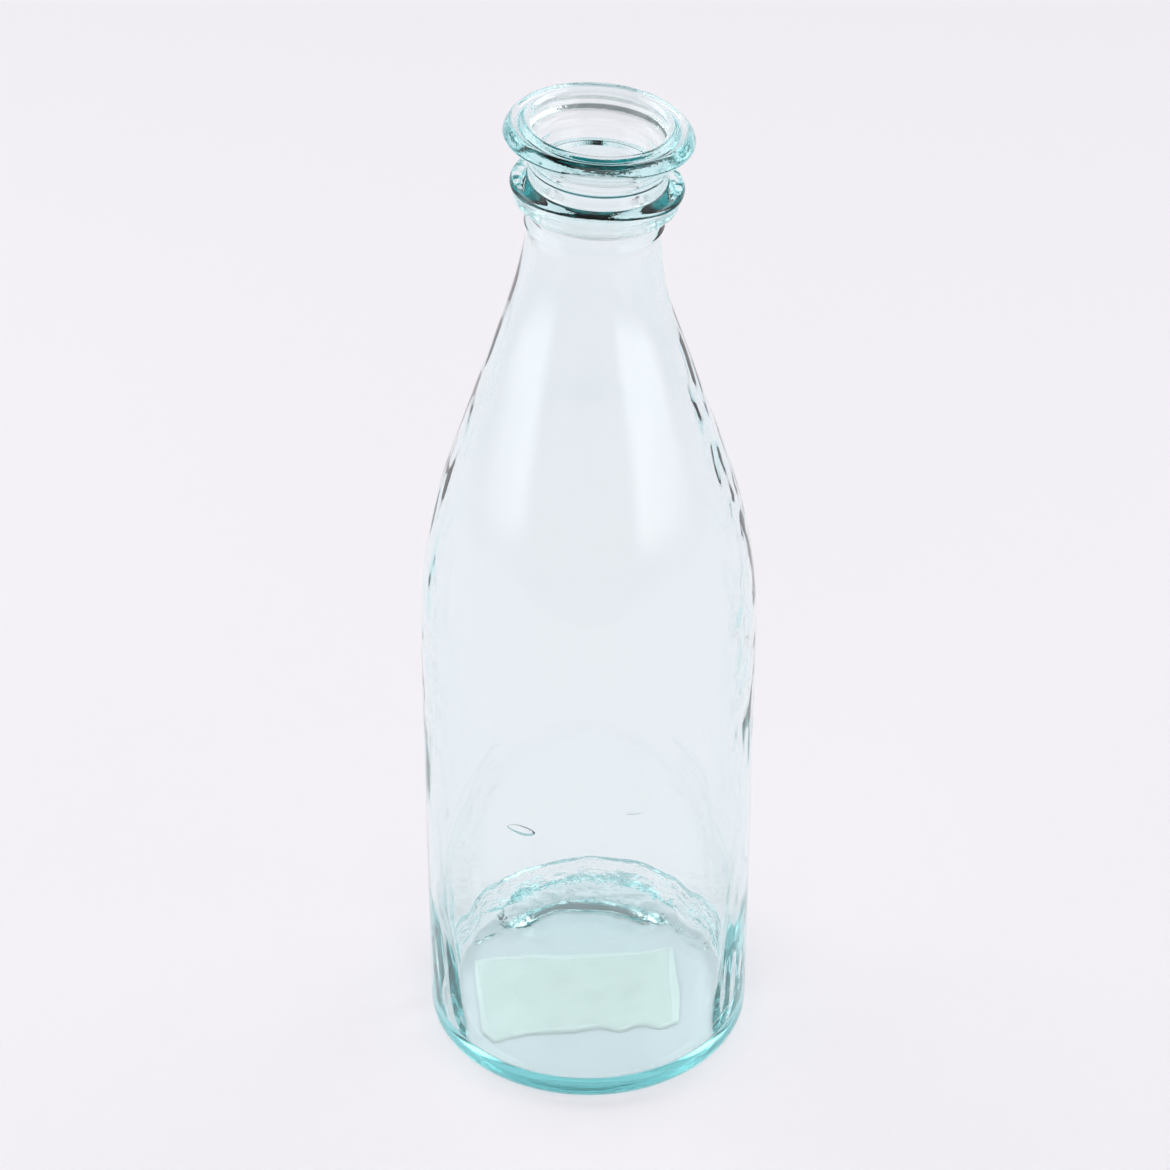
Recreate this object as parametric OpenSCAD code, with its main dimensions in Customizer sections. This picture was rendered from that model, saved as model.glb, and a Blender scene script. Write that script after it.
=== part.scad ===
// Tall glass bottle, blown in one piece with a thick floor and a long sloping shoulder.
// A ring of glass is wound round its neck and a heavy flared lip is laid on its cut end.
// A small blank paper label is stuck in the shallow hollow under its base.
// It stands on the plane z = 0 with its axis on Z, in millimetres and degrees.

/* [Body] */
// Outer radius of the straight body
body_r = 50; // [47:0.5:60]
// Height of the straight body, from the ground to the start of the shoulder
body_h = 144; // [80:1:220]
// Thickness of the glass in the body and the shoulder
wall = 3.4; // [2:0.1:5]

/* [Base] */
// Radius of the rounded heel
heel_r = 4; // [2:0.25:6]
// Width of the flat ring that the bottle stands on
rest_w = 2.2; // [1:0.1:4]
// Width of the sloping side of the hollow under the base
hollow_side_w = 2.8; // [2:0.1:3]
// Depth of the hollow under the base
hollow_d = 0.8; // [0.7:0.1:3]
// Thickness of the glass floor over the hollow
floor_t = 6.2; // [3:0.1:9]
// Radius of the inner corner between the floor and the wall
floor_corner_r = 3; // [2:0.5:12]

/* [Shoulder] */
// Radius of the outward swell at the foot of the shoulder
swell_r = 189; // [120:1:220]
// Lean of the shoulder's straight part from upright, in degrees
shoulder_lean = 18.45; // [14:0.05:24]
// Radius of the inward curve from the shoulder into the neck
throat_r = 118; // [60:1:150]

/* [Neck] */
// Outer radius of the neck where it leaves the shoulder
neck_r = 18.5; // [16.5:0.1:23]
// Thickness of the glass round the bore of the neck
neck_wall = 3.6; // [2.4:0.1:5]
// Height of the neck from the end of the shoulder to its cut end
neck_h = 15; // [13:0.5:40]
// How much larger the neck's radius is at its cut end than at its foot
neck_extra_r = 1.3; // [0:0.1:2]

/* [Ring] */
// How far the ring stands out from the foot of the neck
ring_reach = 6.1; // [3:0.1:10]
// Drop from the neck's cut end to the widest part of the ring
ring_drop = 12; // [8:0.5:20]
// Height of the ring's upper slope
ring_rise = 4.8; // [3:0.1:6]
// Height of the ring's lower slope
ring_fall = 8.4; // [5:0.1:12]
// Radius of the ring's rounded rim
ring_rim_r = 1.8; // [0.8:0.1:2.4]

/* [Lip] */
// How far the lip stands out from the neck's cut end
lip_reach = 6.8; // [4:0.1:12]
// Height of the mouth above the neck's cut end
lip_h = 11; // [6:0.1:14]
// Drop from the mouth's edge to the widest part of the lip
lip_drop = 4; // [2.4:0.1:5]
// How far the lip reaches down the outside of the neck
lip_skirt = 1.6; // [0.8:0.1:2]
// Radius of the lip's rounded rim
lip_rim_r = 2.4; // [1.2:0.1:3]
// How much wider the mouth is than the bore, on the radius
mouth_flare = 5.5; // [3:0.1:7]
// Angle through which the mouth's inside turns outwards, in degrees
mouth_turn = 70; // [45:1:85]

/* [Label] */
// Width of the label from side to side
label_w = 60; // [40:1:70]
// Depth of the label from front to back
label_d = 38; // [24:1:44]
// Thickness of the paper
paper_t = 0.15; // [0.1:0.05:0.4]
// Thickness of the adhesive film
adhesive_t = 0.05; // [0.05:0.05:0.2]
// Margin of paper left bare round the adhesive
adhesive_margin = 1.5; // [0.5:0.1:3]

/* [Hidden] */
$fn = 96;
// Straight steps that stand for the arc of a rounded edge, and for a long curve of the wall
edge_steps = 8;
wall_steps = 14;

// Colours, thin glass paler than the thick glass of the ring and the lip
thin_glass = [0.80, 0.92, 0.93, 0.45];
thick_glass = [0.33, 0.66, 0.65, 0.75];
paper = [0.88, 0.91, 0.86];
film = [0.83, 0.85, 0.76];

// Base
rest_outer_r = body_r - heel_r;
rest_inner_r = rest_outer_r - rest_w;
hollow_r = rest_inner_r - hollow_side_w;
floor_z = hollow_d + floor_t;

// Inside of the body and bore of the neck
inner_r = body_r - wall;
bore_r = neck_r - neck_wall;

// Neck and its cut end
outer_wall = shoulder_line(body_r, neck_r, swell_r, throat_r);
inner_wall = shoulder_line(inner_r, bore_r, swell_r - wall, throat_r + neck_wall);
neck_foot_z = outer_wall[len(outer_wall) - 1][1];
neck_top_z = neck_foot_z + neck_h;
neck_top_r = neck_r + neck_extra_r;

// Ring
ring_z = neck_top_z - ring_drop;
ring_r = neck_r + ring_reach;

// Lip
mouth_z = neck_top_z + lip_h;
mouth_r = bore_r + mouth_flare;
lip_z = mouth_z - lip_drop;
lip_r = neck_top_r + lip_reach;
skirt_z = neck_top_z - lip_skirt;
skirt_r = neck_top_r - neck_extra_r * lip_skirt / neck_h;

// The label's outline, with a torn front edge, in shares of its width and depth, and how far off
// centre it lies, in shares of the room that its furthest corner leaves in the hollow
label_outline_shares = [
    [-0.55, 0.45], [0.50, 0.50], [0.51, -0.22], [0.46, -0.40], [0.34, -0.37], [0.22, -0.43],
    [0.08, -0.38], [-0.05, -0.44], [-0.22, -0.44], [-0.36, -0.50], [-0.43, -0.44]
];
label_reach = max([for (s = label_outline_shares) norm([s[0] * label_w, s[1] * label_d])]);
label_room = hollow_r - label_reach;
label_place_shares = [-0.80, -0.60];

// Points of an arc about a centre, both of its ends among them
function arc(centre, r, from, to, steps) =
    [for (i = [0:steps]) let (a = from + (to - from) * i / steps) centre + r * [cos(a), sin(a)]];

// Line of a wall from the body up over the swell, along the shoulder and into the neck
function shoulder_line(r_body, r_neck, r_swell, r_throat) =
    let (
        lean = shoulder_lean,
        swell_centre = [r_body - r_swell, body_h],
        swell_end = swell_centre + r_swell * [cos(lean), sin(lean)],
        throat_start_r = r_neck + r_throat * (1 - cos(lean)),
        throat_start_z = swell_end[1] + (swell_end[0] - throat_start_r) / tan(lean),
        throat_centre = [r_neck + r_throat, throat_start_z + r_throat * sin(lean)]
    )
    concat(
        arc(swell_centre, r_swell, 0, lean, wall_steps),
        arc(throat_centre, r_throat, 180 + lean, 180, wall_steps)
    );

// Angle at which a line from a point outside a circle touches it, on the side given as 1 or -1
function touch_angle(point, centre, r, side) =
    let (d = point - centre) atan2(d[1], d[0]) + side * acos(r / norm(d));

// Rounded rim between the slope that comes down to it from one point and goes on down to another
function rim(above, below, centre, r) =
    arc(centre, r, touch_angle(above, centre, r, -1), touch_angle(below, centre, r, 1), edge_steps);

// Outside of the body and neck, from the resting ring to the neck's cut end
function outside() =
    concat(
        arc([rest_outer_r, heel_r], heel_r, -90, 0, edge_steps),
        outer_wall,
        [[neck_top_r, neck_top_z]]
    );

// Inside of the neck and body, from the neck's cut end down to the middle of the floor
function inside() =
    concat(
        [[bore_r, neck_top_z]],
        [for (i = [len(inner_wall) - 1:-1:0]) inner_wall[i]],
        arc([inner_r - floor_corner_r, floor_z + floor_corner_r], floor_corner_r, 0, -90, edge_steps),
        [[0, floor_z]]
    );

// Underside of the base, from its middle to the resting ring
function underside() =
    [[0, hollow_d], [hollow_r, hollow_d], [rest_inner_r, 0]];

// Flare of the mouth, from the bore out to the mouth's edge
function mouth() =
    [for (i = [0:edge_steps]) let (a = mouth_turn * i / edge_steps)
        [bore_r + mouth_flare * (1 - cos(a)) / (1 - cos(mouth_turn)),
         neck_top_z + lip_h * sin(a) / sin(mouth_turn)]];

// Flat sheet with the label's outline, made smaller all round by a margin
module label_sheet(margin, thickness) {
    size = [label_w - 2 * margin, label_d - 2 * margin];
    place = label_room * label_place_shares;
    translate([place[0], place[1], 0])
        linear_extrude(thickness)
            polygon([for (s = label_outline_shares) [s[0] * size[0], s[1] * size[1]]]);
}

// Blown body: thick floor, straight wall, shoulder and neck with its round bore
module bottle_body() {
    color(thin_glass)
        rotate_extrude()
            polygon(concat(underside(), outside(), inside()));
}

// Ring of glass wound round the foot of the neck, which it fits all round
module neck_ring() {
    above = [bore_r, ring_z + ring_rise];
    below = [bore_r, ring_z - ring_fall];
    color(thick_glass)
        rotate_extrude()
            difference() {
                polygon(concat(
                    [above],
                    rim(above, below, [ring_r - ring_rim_r, ring_z], ring_rim_r),
                    [below]
                ));
                polygon(concat(outside(), [[0, neck_top_z], [0, 0]]));
            }
}

// Flared lip laid on the neck's cut end and down its outside
module lip_ring() {
    above = [mouth_r, mouth_z];
    below = [skirt_r, skirt_z];
    color(thick_glass)
        rotate_extrude()
            polygon(concat(
                mouth(),
                rim(above, below, [lip_r - lip_rim_r, lip_z], lip_rim_r),
                [below, [neck_top_r, neck_top_z]]
            ));
}

// Blank paper label under the base
module base_label() {
    color(paper)
        translate([0, 0, hollow_d - adhesive_t - paper_t])
            label_sheet(0, paper_t);
}

// Thin film of adhesive that holds the label to the glass
module label_adhesive() {
    color(film)
        translate([0, 0, hollow_d - adhesive_t])
            label_sheet(adhesive_margin, adhesive_t);
}

bottle_body();
neck_ring();
lip_ring();
base_label();
label_adhesive();
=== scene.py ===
"""A tall handmade bottle of pale recycled glass, with a paper label under its base, in a bright studio."""
import math

import bmesh
import bpy
from bpy.props import FloatProperty, FloatVectorProperty, IntProperty, PointerProperty
from mathutils import Matrix, Vector, noise


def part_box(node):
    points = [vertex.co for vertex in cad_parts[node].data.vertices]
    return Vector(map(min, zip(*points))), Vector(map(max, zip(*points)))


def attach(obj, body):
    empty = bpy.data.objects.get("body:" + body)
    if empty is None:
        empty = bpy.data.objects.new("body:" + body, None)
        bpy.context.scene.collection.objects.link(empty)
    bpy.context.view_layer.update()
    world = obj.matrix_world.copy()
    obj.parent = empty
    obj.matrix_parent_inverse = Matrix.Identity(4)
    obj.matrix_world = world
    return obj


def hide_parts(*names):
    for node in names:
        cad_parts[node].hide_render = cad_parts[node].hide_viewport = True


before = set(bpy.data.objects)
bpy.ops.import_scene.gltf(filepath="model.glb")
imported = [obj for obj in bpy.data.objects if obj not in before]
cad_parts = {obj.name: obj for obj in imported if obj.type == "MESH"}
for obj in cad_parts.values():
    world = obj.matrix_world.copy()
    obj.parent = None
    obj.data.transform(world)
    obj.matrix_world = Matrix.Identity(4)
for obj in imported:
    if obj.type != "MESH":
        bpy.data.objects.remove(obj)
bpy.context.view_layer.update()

bl_info = {
    "name": "Recycled Glass Bottle",
    "version": (1, 0, 0),
    "blender": (4, 5, 0),
    "location": "3D View > Sidebar > Bottle",
    "description": "Models a handmade bottle of recycled glass, its base label and its studio",
    "category": "Add Mesh",
}

MM = 0.001
BODY_HIGH, RING_HIGH, LIP_HIGH = (
    Vector(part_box(node)[1]) for node in ("bottle_body", "neck_ring", "lip_ring"))
LABEL_LOW, LABEL_HIGH = (Vector(corner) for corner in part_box("base_label"))
FILM_LOW, FILM_HIGH = (Vector(corner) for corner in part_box("label_adhesive"))


def size(name, default, description, low=0.0):
    """A length in metres, with its name and its default."""
    return FloatProperty(name=name, default=default, description=description, min=low, unit="LENGTH")


class BottleShape(bpy.types.PropertyGroup):
    """Sizes of the glass before it is worked by hand"""
    body_radius: size("Body radius", BODY_HIGH.y, "Radius of the straight body")
    body_height: size("Body height", 144 * MM, "Height at which the body starts to draw in")
    wall: size("Wall", 3.4 * MM, "Thickness of the body's wall")
    heel: size("Heel radius", 4 * MM, "Radius of the rounded heel")
    floor_top: size("Floor", 7 * MM, "Height of the floor inside")
    floor_corner: size("Floor corner", 1.2 * MM, "Radius of the corner between the floor and the wall")
    hollow: size("Hollow", 0.8 * MM, "Depth of the hollow under the base")
    swell: size("Swell", 189 * MM, "Radius of the curve from the body into the shoulder")
    throat: size("Throat", 118 * MM, "Radius of the curve from the shoulder into the neck")
    neck_radius: size("Neck radius", 18.5 * MM, "Radius of the neck's foot")
    bore_radius: size("Bore radius", 14.9 * MM, "Radius of the bore")
    mouth_radius: size("Mouth radius", 20.4 * MM, "Radius of the mouth's edge")
    shoulder_lean: FloatProperty(
        name="Shoulder lean", default=math.radians(18.45), unit="ROTATION",
        description="Angle of the shoulder from upright")
    turns: IntProperty(
        name="Facets", default=240, min=48, max=300, description="Faces round the bottle")


class BottleHand(bpy.types.PropertyGroup):
    """How far the handmade glass strays from a true turned form"""
    neck_shift: size("Neck shift", 2.9 * MM, "How far the mouth stands to the right of the base")
    ring_tilt: FloatProperty(
        name="Ring tilt", default=math.radians(3.5), unit="ROTATION",
        description="How far the ring falls to the right")
    lip_tilt: FloatProperty(
        name="Lip tilt", default=math.radians(4.1), unit="ROTATION",
        description="How far the lip falls to the right")
    inner_waves: size("Inner waves", 0.25 * MM, "Height of the waves on the inside")
    outer_waves: size("Outer waves", 0.03 * MM, "Height of the waves on the outside")
    pooled: size("Pooled glass", 5.8 * MM, "How far the glass that pooled at the back rises up the wall")
    crackle: size("Crackle", 0.9 * MM, "Roughness of the edge of the pooled glass")
    notch: size("Notch", 0.8 * MM, "Depth of the notch in the wall above the pooled glass")
    foot: size("Foot", 2.6 * MM, "How much thicker the wall is at the sides just above the floor")
    dents: size("Dents", 0.7 * MM, "Depth of the dents inside the sides of the shoulder")
    ragged: size("Ragged edge", 0.8 * MM, "How far the underside of the ring strays up and down")
    lumps: size("Lumps", 0.1 * MM, "Depth of the hollows in the ring and the lip")


class BottleFinish(bpy.types.PropertyGroup):
    """Colours of the glass and the paper"""
    glass_tint: FloatVectorProperty(
        name="Glass tint", subtype="COLOR", size=3, min=0, max=1, default=(0.0, 0.79, 0.805),
        description="Colour that the glass lets through")
    glass_depth: FloatProperty(
        name="Tint strength", default=13.5, min=0, description="How fast the tint deepens, per metre")
    paper: FloatVectorProperty(
        name="Paper", subtype="COLOR", size=3, min=0, max=1, default=(0.90, 0.92, 0.90),
        description="Colour of the label's paper")


class BottleStudio(bpy.types.PropertyGroup):
    """Camera and floor"""
    floor: FloatVectorProperty(
        name="Floor", subtype="COLOR", size=3, min=0, max=1, default=(0.885, 0.858, 0.893),
        description="Colour of the floor")
    # Painted light: the floor's glow below the glass takes this tint, in place of light come through the
    # glass
    painted_tint_under_glass: FloatVectorProperty(
        name="Tint under the glass", subtype="COLOR", size=3, min=0, max=1, default=(0.78, 0.92, 0.92),
        description="Colour that the glass gives to the floor's own brightness below it")
    lens: FloatProperty(name="Lens", default=114.42, description="Focal length on a 36 mm sensor, in mm")
    distance: size("Distance", 1.1, "Distance from the camera to the point that it looks at")
    glow: FloatProperty(
        name="Floor glow", default=0.5, min=0, max=1, subtype="FACTOR",
        description="Share of the floor's brightness that is its own")
    floor_front: size("Front of the floor", 0.7, "How far the floor reaches in front of the bottle")
    elevation: FloatProperty(
        name="Elevation", default=math.radians(34.67), unit="ROTATION",
        description="How far the camera looks down")
    aim_height: size("Aim height", 159.2 * MM, "Height of the point that the camera looks at")
    aim_side: size("Aim side", -1.04 * MM, "Sideways place of the camera", low=-1.0)


def deselect():
    """Leave edit mode and select nothing."""
    if bpy.context.mode != "OBJECT":
        bpy.ops.object.mode_set(mode="OBJECT")
    bpy.ops.object.select_all(action="DESELECT")


def smoothly(value, start, stop):
    """0 before start and 1 after stop, with a smooth step between them."""
    share = min(1, max(0, (value - start) / (stop - start)))
    return share * share * (3 - 2 * share)


def near(value, middle, reach):
    """1 at the middle and 0 beyond the reach, with a smooth fall between them."""
    return 1 - smoothly(abs(value - middle), 0, reach)


def radius_of(place):
    """Distance of a place from the upright axis."""
    return math.hypot(place.x, place.y)


def outwards_from(place):
    """Level direction of length 1 from the upright axis to a place."""
    return Vector((place.x, place.y, 0)).normalized()


def bearing_of(place):
    """Bearing of a place from the back of the bottle, in degrees, positive to the right."""
    return math.degrees(math.atan2(place.x, place.y))


def grain(place, across, up, seed=0.0):
    """Smooth noise from -1 to 1 with these sizes across and up."""
    return noise.noise(Vector((place.x / across, place.y / across, place.z / up + seed)))


def roughness(place, grains):
    """A sum of grains, each given by its share, its sizes across and up, and its seed."""
    return sum(share * grain(place, across, up, seed) for share, across, up, seed in grains)


# Longest steps along the line that is turned, and numbers of steps in its curves
WALL_GAP = 4 * MM
LOW_WALL_GAP = 0.9 * MM
FLOOR_GAP = 1.8 * MM
UNDERSIDE_GAP = 2 * MM
REST_GAP = 1.1 * MM
NECK_GAP = 1 * MM
BORE_GAP = 2 * MM
SWELL_STEPS = 20
THROAT_STEPS = 14
HEEL_STEPS = 8
CORNER_STEPS = 10
CURVE_STEPS = 5

# Width of the flat ring that the bottle stands on, and of the sloping side of the hollow inside it
REST_WIDTH = 2.2 * MM
HOLLOW_SIDE = 2.8 * MM
# Height up to which the inside of the wall has the short steps
LOW_WALL_TOP = 34 * MM
# Room between the end of the shoulder's line and the start of the ring's
RING_ROOM = 1 * MM

# Places (radius, height) on the outside of the ring, from the neck below it to the neck above it
RING_EDGE = RING_HIGH.x
RING_PLACES = (
    (19.6 * MM, 281.9 * MM), (19.3 * MM, 283.0 * MM), (18.8 * MM, 285.8 * MM),
    (20.4 * MM, 288.1 * MM), (22.8 * MM, 289.1 * MM), (RING_EDGE - 0.8 * MM, 292.3 * MM),
    (RING_EDGE - 0.4 * MM, 293.7 * MM), (23.1 * MM, 295.1 * MM), (19.4 * MM, 295.8 * MM))

# Places on the outside of the lip, from the neck under it to the edge of the mouth
LIP_EDGE = LIP_HIGH.x
LIP_PLACES = (
    (19.6 * MM, 301.0 * MM), (19.5 * MM, 303.1 * MM), (21.2 * MM, 305.3 * MM),
    (23.8 * MM, 306.1 * MM), (LIP_EDGE - 2.5 * MM, 307.1 * MM), (LIP_EDGE - 0.1 * MM, 308.7 * MM),
    (LIP_EDGE - 2.2 * MM, 312.2 * MM), (LIP_EDGE - 4.0 * MM, 311.3 * MM),
    (20.5 * MM, 312.7 * MM), (18.8 * MM, 311.7 * MM))

# Places inside the mouth between its edge and the bore, how far its first place is drawn in from that
# edge, and the heights at which the bore begins and the curve of the mouth has ended
MOUTH_PLACES = ((18.2 * MM, 308.9 * MM), (16.7 * MM, 305.2 * MM), (15.9 * MM, 299.5 * MM))
MOUTH_DRAW_IN = 1.3 * MM
MOUTH_TOP = 310.9 * MM
BORE_TOP = 297.5 * MM
MOUTH_FOOT = 291.0 * MM


def arc(centre, radius, start, stop, steps):
    """Places (radius, height) along an arc, from one angle in degrees to another."""
    angles = [math.radians(start + (stop - start) * i / steps) for i in range(steps + 1)]
    return [(centre[0] + radius * math.cos(a), centre[1] + radius * math.sin(a)) for a in angles]


def line(start, stop, gap):
    """Places along a straight line no further apart than gap, without its first one."""
    steps = max(1, math.ceil(math.dist(start, stop) / gap))
    return [tuple(a + (b - a) * i / steps for a, b in zip(start, stop)) for i in range(1, steps + 1)]


def curve(points, steps):
    """A smooth line through given points, with so many steps between each two."""
    padded = [points[0], *points, points[-1]]
    places = []
    for before, start, stop, after in zip(padded, padded[1:], padded[2:], padded[3:]):
        for i in range(steps):
            t = i / steps
            places.append(tuple(
                0.5 * (2 * b + (c - a) * t + (2 * a - 5 * b + 4 * c - d) * t * t
                       + (3 * b - a - 3 * c + d) * t ** 3)
                for a, b, c, d in zip(before, start, stop, after)))
    return [*places, points[-1]]


def shoulder_line(shape, body_radius, neck_radius, swell, throat):
    """Wall line from the top of the body over the swell and along the shoulder to the neck's foot."""
    lean = shape.shoulder_lean
    tilt = math.degrees(lean)
    swell_centre = (body_radius - swell, shape.body_height)
    swell_end = (swell_centre[0] + swell * math.cos(lean), swell_centre[1] + swell * math.sin(lean))
    start_radius = neck_radius + throat * (1 - math.cos(lean))
    throat_start = (start_radius, swell_end[1] + (swell_end[0] - start_radius) / math.tan(lean))
    throat_centre = (neck_radius + throat, throat_start[1] + throat * math.sin(lean))
    return (
        arc(swell_centre, swell, 0, tilt, SWELL_STEPS)
        + line(swell_end, throat_start, WALL_GAP)
        + arc(throat_centre, throat, 180 + tilt, 180, THROAT_STEPS)[1:]
    )


def outside_line(shape):
    """Underside and outside of the glass, from the middle of the hollow to the edge of the mouth."""
    rest_outer = shape.body_radius - shape.heel
    rest_inner = rest_outer - REST_WIDTH
    hollow_middle = (0, shape.hollow)
    hollow_edge = (rest_inner - HOLLOW_SIDE, shape.hollow)
    underside = [hollow_middle, *line(hollow_middle, hollow_edge, UNDERSIDE_GAP)]
    resting = [(rest_inner, 0), *line((rest_inner, 0), (rest_outer, 0), REST_GAP)]
    heel = arc((rest_outer, shape.heel), shape.heel, -90, 0, HEEL_STEPS)[1:]
    body = line(heel[-1], (shape.body_radius, shape.body_height), WALL_GAP)[:-1]
    shoulder = shoulder_line(shape, shape.body_radius, shape.neck_radius, shape.swell, shape.throat)
    ring = curve(RING_PLACES, CURVE_STEPS)
    lip = curve(LIP_PLACES, CURVE_STEPS)
    below_ring = [place for place in shoulder if place[1] < ring[0][1] - RING_ROOM]
    neck = line(ring[-1], lip[0], NECK_GAP)[:-1]
    return underside + resting + heel + body + below_ring + ring + neck + lip


def inside_line(shape):
    """Inside of the glass, from just within the mouth's edge to the middle of the floor."""
    inner_radius = shape.body_radius - shape.wall
    neck_wall = shape.neck_radius - shape.bore_radius
    mouth = curve([
        (shape.mouth_radius - MOUTH_DRAW_IN, MOUTH_TOP), *MOUTH_PLACES,
        (shape.bore_radius, BORE_TOP), (shape.bore_radius, MOUTH_FOOT)], CURVE_STEPS)
    shoulder = shoulder_line(
        shape, inner_radius, shape.bore_radius, shape.swell - shape.wall, shape.throat + neck_wall)
    bore = line(mouth[-1], shoulder[-1], BORE_GAP)[:-1]
    corner_centre = (inner_radius - shape.floor_corner, shape.floor_top + shape.floor_corner)
    corner = arc(corner_centre, shape.floor_corner, 0, -90, CORNER_STEPS)
    low_wall_top = (inner_radius, LOW_WALL_TOP)
    high_wall = line(shoulder[0], low_wall_top, WALL_GAP)
    low_wall = line(low_wall_top, corner[0], LOW_WALL_GAP)[:-1]
    floor = line(corner[-1], (0, shape.floor_top), FLOOR_GAP)
    return mouth + bore + shoulder[::-1] + high_wall + low_wall + corner + floor


# Points of the skin that are closer together than this are merged
MERGE_GAP = 0.01 * MM


def draw_chain(name, places):
    """A new object whose mesh is a chain of vertices through these places (radius, height)."""
    deselect()
    bpy.ops.mesh.primitive_circle_add(vertices=len(places), radius=places[0][1])
    chain = bpy.context.object
    chain.name = name
    bpy.ops.object.mode_set(mode="EDIT")
    bpy.ops.mesh.select_mode(type="EDGE")
    bpy.ops.mesh.select_all(action="DESELECT")
    closing = {0, len(places) - 1}
    for edge in bmesh.from_edit_mesh(chain.data).edges:
        edge.select_set({vertex.index for vertex in edge.verts} == closing)
    bpy.ops.mesh.delete(type="EDGE")
    bpy.ops.object.mode_set(mode="OBJECT")
    for vertex, (radius, height) in zip(chain.data.vertices, places):
        vertex.co = (radius, 0, height)
    return chain


def turn(chain, turns):
    """Turn a chain round the upright axis into a closed skin with its faces outwards."""
    screw = chain.modifiers.new("turn", "SCREW")
    screw.axis = "Z"
    screw.steps = screw.render_steps = turns
    screw.use_merge_vertices = True
    screw.merge_threshold = MERGE_GAP
    bpy.ops.object.modifier_apply(modifier=screw.name)
    bpy.ops.object.mode_set(mode="EDIT")
    bpy.ops.mesh.select_all(action="SELECT")
    bpy.ops.mesh.remove_doubles(threshold=MERGE_GAP)
    bpy.ops.mesh.normals_make_consistent(inside=False)
    bpy.ops.object.mode_set(mode="OBJECT")


# In what follows, a pair is where a smooth step starts and stops: heights and radii in metres, and
# bearings from the back in degrees. Grains are given as roughness() takes them.

# The neck leans from this height up to a little below the top, and the ring and the lip also tilt
LEAN_FOOT = 250 * MM
LEAN_BELOW_TOP = 4 * MM
RING_TILT_HEIGHTS = (276 * MM, 288 * MM)
LIP_TILT_HEIGHTS = (297 * MM, 304 * MM)


def lean_and_tilt(place, hand):
    """The neck leans to the right, and the ring and the lip fall to the right."""
    shift = hand.neck_shift * smoothly(place.z, LEAN_FOOT, LIP_HIGH.z - LEAN_BELOW_TOP)
    tilt = hand.ring_tilt * smoothly(place.z, *RING_TILT_HEIGHTS)
    tilt += (hand.lip_tilt - hand.ring_tilt) * smoothly(place.z, *LIP_TILT_HEIGHTS)
    return place + Vector((shift, 0, -place.x * math.tan(tilt)))


# Bearings over which the pooled glass comes and goes, its least height as a share, and the steps by
# which it grows to the right, each a share and its two bearings
POOL_STARTS = (-48, -27)
POOL_STOPS = (14, 44)
POOL_LEAST = 0.86
POOL_STEPS = ((0.12, -12, 4), (0.10, 4, 20))

# The pool's slope towards the wall and its end up the wall
POOL_SLOPE_RADII = (18 * MM, 47 * MM)
POOL_END_HEIGHTS = (7 * MM, 32 * MM)
POOL_GRAINS = ((1, 5 * MM, 5 * MM, 0), (0.6, 1.9 * MM, 1.9 * MM, 0))

# Degrees by which the pool's bearings stray, where its edge is crackled, and where that ends at the sides
POOL_STRAY = 3
CRACKLE_RADII = (38 * MM, 44 * MM)
CRACKLE_END_HEIGHTS = (10 * MM, 16 * MM)
BACK_END_BEARINGS = (60, 80)

# The notch above the pool: its middle and half its height, where the wall is, and how its depth varies
NOTCH_HEIGHT = 9.5 * MM
NOTCH_REACH = 2 * MM
NOTCH_RADII = (45 * MM, 46 * MM)
NOTCH_LEAST = 0.7
NOTCH_ROUGH = 0.6


def pool_height(bearing, hand):
    """How far the floor's edge is raised, by the bearing from the back of the bottle in degrees."""
    at_left = smoothly(bearing, *POOL_STARTS)
    at_right = 1 - smoothly(bearing, *POOL_STOPS)
    growth = sum(share * smoothly(bearing, start, stop) for share, start, stop in POOL_STEPS)
    return hand.pooled * at_left * at_right * (POOL_LEAST + growth)


def pool_glass(place, hand):
    """Inside, the glass has pooled at the back of the floor and set with a ragged edge on the wall."""
    radius = radius_of(place)
    ragged = roughness(place, POOL_GRAINS)
    bearing = bearing_of(place) + POOL_STRAY * ragged
    slope = smoothly(radius, *POOL_SLOPE_RADII)
    low = 1 - smoothly(place.z, *POOL_END_HEIGHTS)
    at_edge = smoothly(radius, *CRACKLE_RADII) * (1 - smoothly(place.z, *CRACKLE_END_HEIGHTS))
    at_back = 1 - smoothly(abs(bearing), *BACK_END_BEARINGS)
    notch = near(place.z, NOTCH_HEIGHT, NOTCH_REACH) * at_back * smoothly(radius, *NOTCH_RADII)
    rise = pool_height(bearing, hand) * slope * low + hand.crackle * ragged * at_edge * at_back
    depth = outwards_from(place) * hand.notch * notch * (NOTCH_LEAST + NOTCH_ROUGH * ragged)
    return place + Vector((0, 0, rise)) + depth


# The thick foot of the wall: the middle of each side and how far round it reaches, where it ends up
# the wall and in towards the floor's middle, and how its thickness varies
FOOT_BEARING = 86
FOOT_SPREAD = 54
FOOT_END_HEIGHTS = (9 * MM, 52 * MM)
FOOT_RADII = (38 * MM, 44 * MM)
FOOT_GRAINS = ((1, 14 * MM, 30 * MM, 3), (0.5, 5 * MM, 22 * MM, 9))
FOOT_ROUGH = 0.8


def thicken_foot(place, hand):
    """The wall grows thicker and streaky towards the floor, most of all at the sides."""
    at_side = near(abs(bearing_of(place)), FOOT_BEARING, FOOT_SPREAD)
    low = (1 - smoothly(place.z, *FOOT_END_HEIGHTS)) * smoothly(radius_of(place), *FOOT_RADII)
    uneven = 1 + FOOT_ROUGH * roughness(place, FOOT_GRAINS)
    return place - outwards_from(place) * hand.foot * low * at_side * uneven


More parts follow.
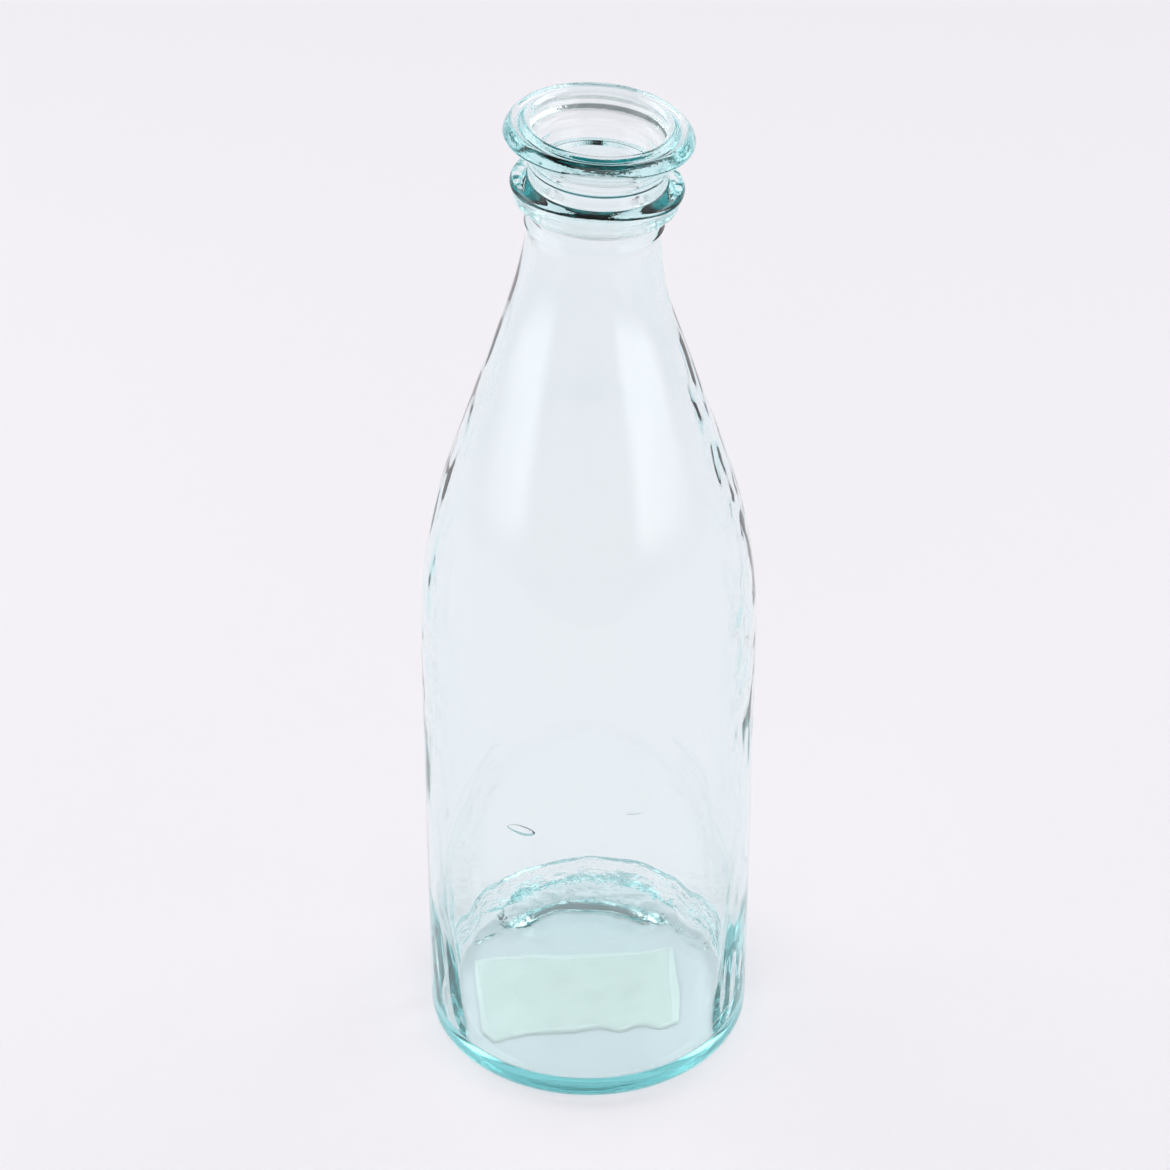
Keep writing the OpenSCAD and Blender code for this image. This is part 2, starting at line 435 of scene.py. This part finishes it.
# Sides that are dented, each a share, a bearing and how far round it reaches, and the heights over
# which the dents come and go
DENT_SIDES = ((1, 92, 42), (0.5, -96, 30))
DENT_START_HEIGHTS = (90 * MM, 130 * MM)
DENT_END_HEIGHTS = (245 * MM, 262 * MM)
DENT_GRAINS = ((1, 9 * MM, 8 * MM, 21), (0.5, 4 * MM, 5 * MM, 33))


def dent_shoulder(place, hand):
    """Inside, the sides of the shoulder and of the body have short dents, most of all the right one."""
    at_side = sum(share * near(bearing_of(place), middle, reach) for share, middle, reach in DENT_SIDES)
    along = smoothly(place.z, *DENT_START_HEIGHTS) * (1 - smoothly(place.z, *DENT_END_HEIGHTS))
    dents = roughness(place, DENT_GRAINS)
    return place + outwards_from(place) * hand.dents * at_side * along * dents


# The ring's ragged underside: its middle and half its height, and where it stands out from the neck
FRAY_HEIGHT = 286 * MM
FRAY_REACH = 5 * MM
FRAY_RADII = (19 * MM, 20.5 * MM)
FRAY_GRAINS = ((1, 3.4 * MM, 20 * MM, 5), (0.7, 1.5 * MM, 20 * MM, 8))


def fray_ring(place, hand):
    """The underside of the ring is ragged where its glass ran down the neck."""
    under = near(place.z, FRAY_HEIGHT, FRAY_REACH) * smoothly(radius_of(place), *FRAY_RADII)
    runs = roughness(place, FRAY_GRAINS)
    return place + Vector((0, 0, hand.ragged * under * runs))


# Where the ring and the lip stand out from the neck, and how low the roughness has to be for a hollow
HOLLOW_RADII = (19.5 * MM, 23 * MM)
HOLLOW_HEIGHTS = (284 * MM, 287 * MM)
HOLLOW_GRAINS = ((1, 9 * MM, 5 * MM, 40), (0.4, 3 * MM, 2.5 * MM, 50))
HOLLOW_LEVEL = 0.1


def hollow_rings(place, hand):
    """The ring and the lip are a little lumpy, with shallow hollows in them."""
    stands_out = smoothly(radius_of(place), *HOLLOW_RADII) * smoothly(place.z, *HOLLOW_HEIGHTS)
    lumps = roughness(place, HOLLOW_GRAINS)
    return place + (hand.lumps * stands_out * min(0.0, lumps - HOLLOW_LEVEL)) * outwards_from(place)


# The waves in the wall, and the heights over which they come and go
WAVE_GRAINS = ((1, 19 * MM, 42 * MM, 0), (0.4, 8 * MM, 24 * MM, 7))
WAVE_START_HEIGHTS = (10 * MM, 40 * MM)
WAVE_END_HEIGHTS = (262 * MM, 282 * MM)


def wave(place, inner, hand):
    """The walls are wavy, on the inside more than on the outside, which only goes inwards."""
    height = hand.inner_waves if inner else hand.outer_waves
    fade = smoothly(place.z, *WAVE_START_HEIGHTS) * (1 - smoothly(place.z, *WAVE_END_HEIGHTS))
    outwards = -height * fade * roughness(place, WAVE_GRAINS)
    if not inner:
        outwards = min(0, outwards)
    return place + outwards_from(place) * outwards


# Heights that bound the hand work: pool and foot below the first, dents below the second, ring and lip
# above the third and waves above the last
FOOT_TOP = 54 * MM
DENTED_TOP = 270 * MM
RING_FOOT = 278 * MM
WAVES_FOOT = 8 * MM


def shape_by_hand(glass, hand):
    """Move the turned skin to its handmade form. Only vertices of its inside are in a group."""
    for vertex in glass.data.vertices:
        place = vertex.co.copy()
        inner = bool(vertex.groups)
        if inner and place.z < FOOT_TOP:
            place = thicken_foot(pool_glass(place, hand), hand)
        elif inner and place.z < DENTED_TOP:
            place = dent_shoulder(place, hand)
        elif not inner and place.z > RING_FOOT:
            place = hollow_rings(fray_ring(place, hand), hand)
        if place.z > WAVES_FOOT:
            place = wave(place, inner, hand)
        vertex.co = lean_and_tilt(place, hand)


# Bubbles in the wall: bearing from the back in degrees, height, length, width and tilt in degrees
BUBBLES = (
    (-28.5, 35.5 * MM, 12 * MM, 3.0 * MM, 36),
    (18.4, 38.8 * MM, 5 * MM, 0.6 * MM, -26),
    (100, 62 * MM, 1.1 * MM, 2.2 * MM, 10),
    (80, 150 * MM, 0.9 * MM, 1.9 * MM, 0))

# A bubble's depth as a share of its width, and at most as a share of the wall, and its faces each way
BUBBLE_DEPTH_SHARE = 0.45
BUBBLE_WALL_SHARE = 0.35
BUBBLE_SEGMENTS = 20
BUBBLE_RINGS = 12


def blow_bubble(shape, bearing, height, length, width, tilt):
    """A flat bubble in the middle of the wall, with its faces towards its inside, where the air is."""
    deselect()
    bpy.ops.mesh.primitive_uv_sphere_add(segments=BUBBLE_SEGMENTS, ring_count=BUBBLE_RINGS, radius=0.5)
    bubble = bpy.context.object
    depth = min(BUBBLE_DEPTH_SHARE * width, BUBBLE_WALL_SHARE * shape.wall)
    middle = shape.body_radius - shape.wall / 2
    if height > shape.body_height:
        rise = height - shape.body_height
        middle -= rise * rise / (2 * shape.swell)
    turned = (Matrix.Rotation(math.radians(-bearing), 4, "Z")
              @ Matrix.Translation((0, middle, height))
              @ Matrix.Rotation(math.radians(tilt), 4, "Y")
              @ Matrix.Diagonal((length, depth, width, 1)))
    bubble.data.transform(turned)
    bpy.ops.object.mode_set(mode="EDIT")
    bpy.ops.mesh.select_all(action="SELECT")
    bpy.ops.mesh.normals_make_consistent(inside=True)
    bpy.ops.object.mode_set(mode="OBJECT")
    return bubble


def add_bubbles(glass, shape):
    """Blow the bubbles and make them part of the glass."""
    bubbles = [blow_bubble(shape, *numbers) for numbers in BUBBLES]
    deselect()
    for bubble in bubbles:
        bubble.select_set(True)
    glass.select_set(True)
    bpy.context.view_layer.objects.active = glass
    bpy.ops.object.join()


def make_glass(shape, hand):
    """The whole skin of the glass as one closed mesh, with the bubbles in it."""
    outside = outside_line(shape)
    inside = inside_line(shape)
    glass = draw_chain("glass_bottle", outside + inside)
    inner = glass.vertex_groups.new(name="inner")
    inner.add(list(range(len(outside), len(outside) + len(inside))), 1.0, "ADD")
    turn(glass, shape.turns)
    shape_by_hand(glass, hand)
    add_bubbles(glass, shape)
    bpy.ops.object.shade_smooth()
    return glass


# The label's corners in plan
BACK_LEFT = Vector((-38.4 * MM, 13.6 * MM))
BACK_RIGHT = Vector((29.6 * MM, 18.6 * MM))
FRONT_RIGHT = Vector((28.0 * MM, -19.4 * MM))
FRONT_LEFT = Vector((-32.6 * MM, -25.6 * MM))

# How far its torn front edge strays to the back, in millimetres, at shares of its length
TEAR = (
    (0, 3.4), (0.07, -0.6), (0.16, 1.4), (0.26, 2.2), (0.36, 2.1), (0.46, 1.5), (0.53, 2.5),
    (0.59, 3.1), (0.7, 0.6), (0.81, 2.6), (0.91, 0.8), (1, 3.0))
# The fine fibres along that edge: height in millimetres, how close they are, and a seed
TEAR_FIBRES = ((0.25, 40, 2), (0.15, 130, 5))

# How far from the torn edge the paper has a painted shadow: wholly up to the first, not at all beyond the
# second
TORN_SHADOW_REACH = (0.4 * MM, 1.8 * MM)

# How far the torn edge hangs down and how deep the loose strip is, how much of that is always there
# and how much varies, and the size of these waves
HANG_DROP = 0.4 * MM
HANG_REACH = 9 * MM
HANG_LEAST = 0.75
HANG_ROUGH = 0.35
HANG_WAVE = 11 * MM

# Columns and rows of faces in the label and in its film
LABEL_FACES = (150, 60)
FILM_FACES = (32, 16)
# Margin of paper left bare round the film, the gaps above label and film, and the one below the film
FILM_MARGIN = 2 * MM
SHEET_GAP = 0.01 * MM
FILM_LIFT = 0.005 * MM
# Edges of the sheets that are sharper than this stay sharp
SHEET_CREASE = math.radians(40)


def tear(share):
    """How far the torn edge strays to the back at a share of its length."""
    fibres = sum(
        height * noise.noise(Vector((share * closeness, seed, 0)))
        for height, closeness, seed in TEAR_FIBRES)
    for (start, low), (stop, high) in zip(TEAR, TEAR[1:]):
        if share <= stop:
            return (low + (high - low) * smoothly(share, start, stop) + fibres) * MM
    return 0.0


def make_sheet(name, faces, margin, low, high):
    """A flat sheet in the label's outline, drawn in by a margin, between two heights."""
    deselect()
    bpy.ops.mesh.primitive_grid_add(x_subdivisions=faces[0], y_subdivisions=faces[1], size=1)
    sheet = bpy.context.object
    sheet.name = name
    middle = (BACK_LEFT + FRONT_RIGHT) / 2
    for vertex in sheet.data.vertices:
        across, along = vertex.co.x + 0.5, vertex.co.y + 0.5
        back = BACK_LEFT.lerp(BACK_RIGHT, across)
        front = FRONT_LEFT.lerp(FRONT_RIGHT, across)
        front.y += tear(across)
        spot = front.lerp(back, along)
        share = 1 - margin / (spot - middle).length if margin else 1
        spot = middle + (spot - middle) * max(0, share)
        vertex.co = (spot.x, spot.y, high)
    thick = sheet.modifiers.new("thickness", "SOLIDIFY")
    thick.thickness = high - low
    thick.offset = -1
    bpy.ops.object.modifier_apply(modifier=thick.name)
    return sheet


def along_front(vertex):
    """How far along the label's front a vertex is, as a share, and where its untorn edge would be."""
    across = (vertex.co.x - FRONT_LEFT.x) / (FRONT_RIGHT.x - FRONT_LEFT.x)
    return across, FRONT_LEFT.lerp(FRONT_RIGHT, across).y


def mark_tear(sheet):
    """Write how near each place is to the torn edge, from 0 to 1, as an attribute of the sheet, which the
    paper's painted shadow follows.
    """
    torn = sheet.data.attributes.new("torn", "FLOAT", "POINT")
    # Painted shadow of the torn edge: full at the edge, none further in
    shadowed, unshaded = TORN_SHADOW_REACH
    for vertex, mark in zip(sheet.data.vertices, torn.data):
        across, front = along_front(vertex)
        edge = front + tear(across)
        mark.value = 1 - smoothly(vertex.co.y, edge + shadowed, edge + unshaded)


def hang(sheet):
    """The torn edge has come away from the glass and hangs a little."""
    for vertex in sheet.data.vertices:
        front = along_front(vertex)[1]
        loose = 1 - smoothly(vertex.co.y, front, front + HANG_REACH)
        waves = noise.noise(Vector((vertex.co.x / HANG_WAVE, 3, 0)))
        vertex.co.z -= HANG_DROP * loose * (HANG_LEAST + HANG_ROUGH * waves)


class Number:
    """A socket that carries a number: sums on it add Math nodes."""

    def __init__(self, shader, socket):
        self.shader = shader
        self.socket = socket

    def _with(self, operation, first, second):
        """The result of a Math node on two numbers."""
        node = self.shader.node("Math", {"operation": operation}, {0: first, 1: second})
        return Number(self.shader, node.outputs[0])

    def __add__(self, other):
        return self._with("ADD", self, other)

    def __radd__(self, other):
        return self._with("ADD", other, self)

    def __sub__(self, other):
        return self._with("SUBTRACT", self, other)

    def __rsub__(self, other):
        return self._with("SUBTRACT", other, self)

    def __mul__(self, other):
        return self._with("MULTIPLY", self, other)

    def __rmul__(self, other):
        return self._with("MULTIPLY", other, self)

    def __lt__(self, other):
        return self._with("LESS_THAN", self, other)


class Shader:
    """The node tree of a material, a lamp or the surroundings."""

    def __init__(self, owner, output="OutputMaterial"):
        owner.use_nodes = True
        self.owner = owner
        self.tree = owner.node_tree
        self.tree.nodes.clear()
        self.output = self.node(output)

    def node(self, kind, settings=None, sockets=None):
        """A new node of a kind, with its settings, and the values or links of its inputs."""
        node = self.tree.nodes.new("ShaderNode" + kind)
        for name, value in (settings or {}).items():
            if name == "stops":
                self.set_stops(node.color_ramp, value)
            else:
                setattr(node, name, value)
        for key, value in (sockets or {}).items():
            if isinstance(value, Number):
                value = value.socket
            if isinstance(value, bpy.types.NodeSocket):
                self.tree.links.new(value, node.inputs[key])
            else:
                node.inputs[key].default_value = value
        return node

    def set_stops(self, ramp, stops):
        """Give a ramp these stops, each a place from 0 to 1 and a colour."""
        while len(ramp.elements) < len(stops):
            ramp.elements.new(1)
        for element, (place, colour) in zip(ramp.elements, stops):
            element.position = place
            element.color = (*colour, 1)

    def place(self):
        """Object coordinates."""
        return self.node("TexCoord").outputs["Object"]

    def largest(self, *numbers):
        """The largest of some numbers."""
        most = numbers[0]
        for number in numbers[1:]:
            node = self.node("Math", {"operation": "MAXIMUM"}, {0: most, 1: number})
            most = Number(self, node.outputs[0])
        return most

    def noise(self, size, detail, stretch=(1, 1, 1)):
        """Noise from 0 to 1 whose features have this size in metres, times the stretch."""
        spread = self.node("Mapping", {"vector_type": "TEXTURE"}, {
            "Vector": self.place(), "Scale": stretch})
        node = self.node("TexNoise", None, {
            "Vector": spread.outputs[0], "Scale": 1 / size, "Detail": detail})
        return Number(self, node.outputs["Fac"])

    def axes(self):
        """The three Object coordinates and the distance from the upright axis."""
        split = self.node("SeparateXYZ", None, {0: self.place()}).outputs
        flat = self.node("CombineXYZ", None, {0: split[0], 1: split[1]}).outputs[0]
        radius = self.node("VectorMath", {"operation": "LENGTH"}, {0: flat}).outputs["Value"]
        return (*(Number(self, socket) for socket in split), Number(self, radius))

    def step(self, number, start, stop):
        """0 before start and 1 after stop, with a smooth step between them."""
        node = self.node("MapRange", {"interpolation_type": "SMOOTHSTEP"}, {
            "Value": number, "From Min": start, "From Max": stop})
        return Number(self, node.outputs[0])

    def band(self, number, start, stop, soft):
        """1 from start to stop, with a soft fall on both sides."""
        return self.step(number, start - soft, start) * (1 - self.step(number, stop, stop + soft))

    def blend(self, share, first, second):
        """A colour that goes from the first to the second as the share goes from 0 to 1."""
        return self.node("Mix", {"data_type": "RGBA"}, {
            0: share, 6: (*first, 1), 7: (*second, 1)}).outputs[2]

    def bump(self, height, distance):
        """A Normal from a height that spans so many metres."""
        node = self.node("Bump", None, {"Strength": 1.0, "Distance": distance, "Height": height})
        return node.outputs["Normal"]

    def surface(self, shader_socket):
        """Use this shader for the surface."""
        self.tree.links.new(shader_socket, self.output.inputs["Surface"])
        return self.owner


# The glass has no colour on its surface. How strongly it bends light, and how high its marks stand
CLEAR = (1, 1, 1, 1)
GLASS_IOR = 1.52
GLASS_BUMP = 0.5 * MM

# Where the creases of the pooled glass are: heights with their soft ends, radii of the floor's edge and
# of the wall that bounds it, and distances to the back
CREASE_HEIGHTS = (8.5 * MM, 18 * MM, 2 * MM)
CREASE_FLOOR_RADII = (30 * MM, 42 * MM)
CREASE_WALL_RADII = (47.5 * MM, 49 * MM)
CREASE_BACKS = (5 * MM, 25 * MM)
# Where the scratched heel ends upwards and begins outwards, and where the ring and the lip begin
HEEL_END_HEIGHTS = (4 * MM, 8 * MM)
HEEL_RADII = (46 * MM, 48 * MM)
WORKED_HEIGHTS = (283 * MM, 286 * MM)
WORKED_RADII = (19 * MM, 22 * MM)

# Marks in the glass: the size of a mark, its detail and its stretch, and how strong the marks are
FINE_CREASE = (1.5 * MM, 3, (3, 3, 0.7))
FINE_CREASE_STRENGTH = 1.5
BROAD_CREASE = (5 * MM, 3, (1, 1, 0.5))
BROAD_CREASE_STRENGTH = 6
SCRATCH = (0.9 * MM, 3, (4, 4, 1))
SCRATCH_STRENGTH = 0.25
PIT = (1.6 * MM, 3)
PIT_STRENGTH = 0.15


def glass_material(finish):
    """Clear recycled glass, teal where it is thick, with fine marks where it was worked."""
    shader = Shader(bpy.data.materials.new("recycled_glass"))
    _, back, height, radius = shader.axes()
    pool_edge = shader.band(height, *CREASE_HEIGHTS) * shader.step(radius, *CREASE_FLOOR_RADII)
    pool_edge = pool_edge * shader.step(back, *CREASE_BACKS) * (1 - shader.step(radius, *CREASE_WALL_RADII))
    heel = (1 - shader.step(height, *HEEL_END_HEIGHTS)) * shader.step(radius, *HEEL_RADII)
    worked = shader.step(height, *WORKED_HEIGHTS) * shader.step(radius, *WORKED_RADII)
    fine = shader.noise(*FINE_CREASE) * FINE_CREASE_STRENGTH
    broad = shader.noise(*BROAD_CREASE) * BROAD_CREASE_STRENGTH
    creases = (fine + broad) * pool_edge
    scratches = shader.noise(*SCRATCH) * heel * SCRATCH_STRENGTH
    pits = shader.noise(*PIT) * worked * PIT_STRENGTH
    body = shader.node("BsdfPrincipled", None, {
        "Base Color": CLEAR, "Roughness": 0.0, "IOR": GLASS_IOR, "Transmission Weight": 1.0,
        "Normal": shader.bump(creases + scratches + pits, GLASS_BUMP)})
    tint = shader.node("VolumeAbsorption", None, {
        "Color": (*finish.glass_tint, 1), "Density": finish.glass_depth})
    shader.tree.links.new(tint.outputs[0], shader.output.inputs["Volume"])
    return shader.surface(body.outputs[0])


# The paper's fibres: their size and detail, and how high they stand; and how dark the painted shadow along
# its torn edge is
FIBRE = (0.7 * MM, 4)
PAPER_BUMP = 0.03 * MM
PAPER_ROUGHNESS = 0.9
TORN_SHADOW_SHARE = 0.7


def paper_material(finish):
    """Matt label paper, with a painted shadow along its torn edge."""
    shader = Shader(bpy.data.materials.new("label_paper"))
    torn = shader.node("Attribute", {"attribute_name": "torn"}).outputs["Fac"]
    # Painted shadow: the paper's colour darkens along its torn edge
    shadowed = [TORN_SHADOW_SHARE * share for share in finish.paper]
    body = shader.node("BsdfPrincipled", None, {
        "Base Color": shader.blend(torn, finish.paper, shadowed), "Roughness": PAPER_ROUGHNESS,
        "Normal": shader.bump(shader.noise(*FIBRE), PAPER_BUMP)})
    return shader.surface(body.outputs[0])


# The film's colour and roughness, the size and detail of its patches, and how opaque it is: at least,
# and by how much more in a patch
FILM_COLOUR = (0.90, 0.93, 0.86, 1)
FILM_ROUGHNESS = 0.3
FILM_PATCH = (9 * MM, 3)
FILM_LEAST = 0.04
FILM_PATCHES = 0.12


def film_material():
    """Clear adhesive film."""
    shader = Shader(bpy.data.materials.new("label_film"))
    patches = shader.noise(*FILM_PATCH)
    body = shader.node("BsdfPrincipled", None, {
        "Base Color": FILM_COLOUR, "Roughness": FILM_ROUGHNESS,
        "Alpha": FILM_LEAST + patches * FILM_PATCHES})
    return shader.surface(body.outputs[0])


# The floor's size, how far it lies below the bottle, and the radii between which its glow takes the painted
# tint of light come through the glass
FLOOR_SIZE = 12
FLOOR_DROP = 0.05 * MM
UNDER_RADII = (49 * MM, 44 * MM)
# Light that was bent or reflected this many times on its way meets this glowing grey in place of the floor:
# painted shade for the shadowed floor under the glass
LONG_WAY = 13
LONG_WAY_PAINTED_SHADE = (0.35, 0.35, 0.35, 1)


def floor_material(studio):
    """Plain pale floor, part of whose brightness is its own, so that shadows on it stay faint.

    Under the glass that brightness has a painted tint, for the light that gets there has come through the
    glass.
    What has run a long way inside the glass meets a glowing grey, painted shade in place of the shadowed
    floor, which keeps the thick lip and ring dark.
    """
    shader = Shader(bpy.data.materials.new("studio_floor"))
    radius = shader.axes()[3]
    plain = shader.node("BsdfDiffuse", None, {"Color": (*studio.floor, 1)})
    # Painted light: the floor's glow under the glass is tinted as if lit through it
    under = [share * tint for share, tint in zip(studio.floor, studio.painted_tint_under_glass)]
    tinted = shader.blend(shader.step(radius, *UNDER_RADII), studio.floor, under)
    glow = shader.node("Emission", None, {"Color": tinted})
    rays = shader.node("LightPath").outputs
    kinds = ("Is Camera Ray", "Is Glossy Ray", "Is Transmission Ray")
    seen = shader.largest(*(Number(shader, rays[kind]) for kind in kinds))
    lit = shader.node("MixShader", None, {0: seen * studio.glow, 1: plain.outputs[0], 2: glow.outputs[0]})
    # Painted shade: a glowing grey in place of the shadowed floor under the glass
    painted_shade = shader.node("Emission", None, {"Color": LONG_WAY_PAINTED_SHADE})
    direct = Number(shader, rays["Ray Depth"]) < LONG_WAY
    mix = shader.node("MixShader", None, {0: direct, 1: painted_shade.outputs[0], 2: lit.outputs[0]})
    return shader.surface(mix.outputs[0])


# Where the bright middle of a softbox starts and stops, and how soft its edge is, across and up
BRIGHT_ACROSS = (0.25, 0.75, 0.25)
BRIGHT_UP = (0.16, 0.84, 0.16)


def lamp_face(lamp):
    """Let the light of a softbox fall off towards its edges."""
    shader = Shader(lamp, "OutputLight")
    face = shader.node("NewGeometry").outputs["Parametric"]
    split = shader.node("SeparateXYZ", None, {0: face}).outputs
    across, up = (Number(shader, socket) for socket in split[:2])
    middle = shader.band(across, *BRIGHT_ACROSS) * shader.band(up, *BRIGHT_UP)
    light = shader.node("Emission", None, {"Strength": middle})
    shader.surface(light.outputs[0])


# Shades of the room, the walls' and the ceiling's, and how high up each ends or begins, from 0 for level
# to 1 for straight up
WALL_SHADE = (0.45, (0.62, 0.62, 0.65))
CEILING_SHADE = (0.72, (0.24, 0.24, 0.25))


def surroundings(world):
    """A pale room whose ceiling is darker than its walls."""
    shader = Shader(world, "OutputWorld")
    up = shader.node("SeparateXYZ", None, {0: shader.node("TexCoord").outputs["Generated"]}).outputs[2]
    shades = shader.node("ValToRGB", {"stops": (WALL_SHADE, CEILING_SHADE)}, {0: up})
    light = shader.node("Background", None, {"Color": shades.outputs[0]})
    return shader.surface(light.outputs[0])


class BOTTLE_OT_glass(bpy.types.Operator):
    """Turn the glass of the bottle as one closed skin and shape it by hand"""
    bl_idname = "bottle.glass"
    bl_label = "Bottle Glass"

    def execute(self, context):
        scene = context.scene
        glass = make_glass(scene.bottle_shape, scene.bottle_hand)
        glass.data.materials.append(glass_material(scene.bottle_finish))
        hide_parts("bottle_body", "neck_ring", "lip_ring")
        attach(glass, "root")
        return {"FINISHED"}


class BOTTLE_OT_label(bpy.types.Operator):
    """Cut the paper label with its torn front edge, and its adhesive"""
    bl_idname = "bottle.label"
    bl_label = "Base Label"

    def execute(self, context):
        finish = context.scene.bottle_finish
        label = make_sheet("paper_label", LABEL_FACES, 0, LABEL_LOW.z, LABEL_HIGH.z - SHEET_GAP)
        mark_tear(label)
        hang(label)
        label.data.materials.append(paper_material(finish))
        film = make_sheet(
            "adhesive_film", FILM_FACES, FILM_MARGIN, FILM_LOW.z + FILM_LIFT, FILM_HIGH.z - SHEET_GAP)
        film.data.materials.append(film_material())
        sheets = ((label, "base_label", "label_paper"), (film, "label_adhesive", "label_film"))
        for sheet, node, slot in sheets:
            bpy.context.view_layer.objects.active = sheet
            sheet.select_set(True)
            bpy.ops.object.shade_smooth_by_angle(angle=SHEET_CREASE)
            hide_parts(node)
            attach(sheet, "root")
        return {"FINISHED"}


# How far from the axis and how high the softboxes beside the bottle stand
SIDE_REACH = 0.9
SIDE_HEIGHT = 0.65


def beside(bearing):
    """A place beside the bottle, by its bearing from the front in degrees, positive to the right."""
    turned = math.radians(bearing)
    return (SIDE_REACH * math.sin(turned), -SIDE_REACH * math.cos(turned), SIDE_HEIGHT)


# Softboxes: name, place, width, height, radiance and the point that it looks at
SOFTBOXES = (
    ("softbox_left", beside(-84), 1.45, 1.2, 1.3, (0, 0, SIDE_HEIGHT)),
    ("softbox_right", beside(65), 1.2, 1.2, 1.3, (0, 0, SIDE_HEIGHT)),
    ("softbox_upper_left", (-1.0, 0.8, 1.5), 1.5, 1.3, 2.6, (0, 0.4, 0)),
    ("softbox_upper_right", (1.0, 0.8, 1.5), 1.5, 1.3, 2.6, (0, 0.4, 0)),
    ("softbox_front", (0, -1.5, 1.45), 1.8, 1.1, 1.3, (0, 0, 0.2)))

# Camera: width of its sensor in millimetres, and how near it sees
SENSOR_WIDTH = 36
NEAREST = 0.01

# How often light may turn on its way through the glass, and be mirrored by it
TURNS_THROUGH = 48
TURNS_MIRRORED = 32


def add_softbox(name, place, width, height, radiance, aim):
    """A rectangular area lamp that looks at a point and shines with the given radiance."""
    deselect()
    bpy.ops.object.light_add(type="AREA", location=place)
    lamp = bpy.context.object
    lamp.name = name
    lamp.rotation_euler = (Vector(aim) - Vector(place)).to_track_quat("-Z", "Y").to_euler()
    lamp.data.shape = "RECTANGLE"
    lamp.data.size = width
    lamp.data.size_y = height
    lamp.data.energy = radiance * math.pi * width * height
    lamp.visible_camera = False
    lamp_face(lamp.data)


class BOTTLE_OT_stage(bpy.types.Operator):
    """Lay the floor, set up the softboxes and the surroundings, and place the camera"""
    bl_idname = "bottle.stage"
    bl_label = "Studio"

    def execute(self, context):
        scene = context.scene
        studio = scene.bottle_studio
        deselect()
        middle = (0, FLOOR_SIZE / 2 - studio.floor_front, -FLOOR_DROP)
        bpy.ops.mesh.primitive_plane_add(size=FLOOR_SIZE, location=middle)
        bpy.ops.object.transform_apply(location=True, rotation=False, scale=False)
        floor = context.object
        floor.name = "studio_floor"
        floor.data.materials.append(floor_material(studio))
        self.light(scene)
        self.look(scene, studio)
        return {"FINISHED"}

    def light(self, scene):
        """Two softboxes beside the bottle, two above it and one behind the camera, in a pale room."""
        for softbox in SOFTBOXES:
            add_softbox(*softbox)
        scene.world = surroundings(bpy.data.worlds.new("studio_surroundings"))
        scene.view_settings.view_transform = "Standard"
        scene.cycles.max_bounces = TURNS_THROUGH
        scene.cycles.transmission_bounces = TURNS_THROUGH
        scene.cycles.glossy_bounces = TURNS_MIRRORED
        scene.cycles.blur_glossy = 0.0

    def look(self, scene, studio):
        """The camera looks down at the bottle from the front."""
        aim = Vector((studio.aim_side, 0, studio.aim_height))
        back = Vector((0, -math.cos(studio.elevation), math.sin(studio.elevation))) * studio.distance
        bpy.ops.object.camera_add(location=aim + back)
        camera = bpy.context.object
        camera.name = "camera"
        camera.rotation_euler = (-back).to_track_quat("-Z", "Y").to_euler()
        camera.data.lens = studio.lens
        camera.data.sensor_width = SENSOR_WIDTH
        camera.data.clip_start = NEAREST
        scene.camera = camera


class BOTTLE_PT_panel(bpy.types.Panel):
    """Sizes and colours of the bottle, and the steps that make it"""
    bl_idname = "BOTTLE_PT_panel"
    bl_label = "Recycled Glass Bottle"
    bl_space_type = "VIEW_3D"
    bl_region_type = "UI"
    bl_category = "Bottle"

    def draw(self, context):
        for group_name in GROUPS:
            group = getattr(context.scene, group_name)
            for prop in group.__annotations__:
                self.layout.prop(group, prop)
        for operator in OPERATORS:
            self.layout.operator(operator.bl_idname)


GROUPS = {
    "bottle_shape": BottleShape, "bottle_hand": BottleHand,
    "bottle_finish": BottleFinish, "bottle_studio": BottleStudio}
OPERATORS = (BOTTLE_OT_stage, BOTTLE_OT_glass, BOTTLE_OT_label)


def register():
    """Add the settings, the operators and the panel to Blender."""
    for part in (*GROUPS.values(), *OPERATORS, BOTTLE_PT_panel):
        bpy.utils.register_class(part)
    for name, group in GROUPS.items():
        setattr(bpy.types.Scene, name, PointerProperty(type=group))


def unregister():
    """Take them away again."""
    for name in GROUPS:
        delattr(bpy.types.Scene, name)
    for part in (BOTTLE_PT_panel, *OPERATORS, *GROUPS.values()):
        bpy.utils.unregister_class(part)


def main():
    """Set up the studio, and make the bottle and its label."""
    register()
    bpy.ops.bottle.stage()
    bpy.ops.bottle.glass()
    bpy.ops.bottle.label()


if __name__ == "__main__":
    main()
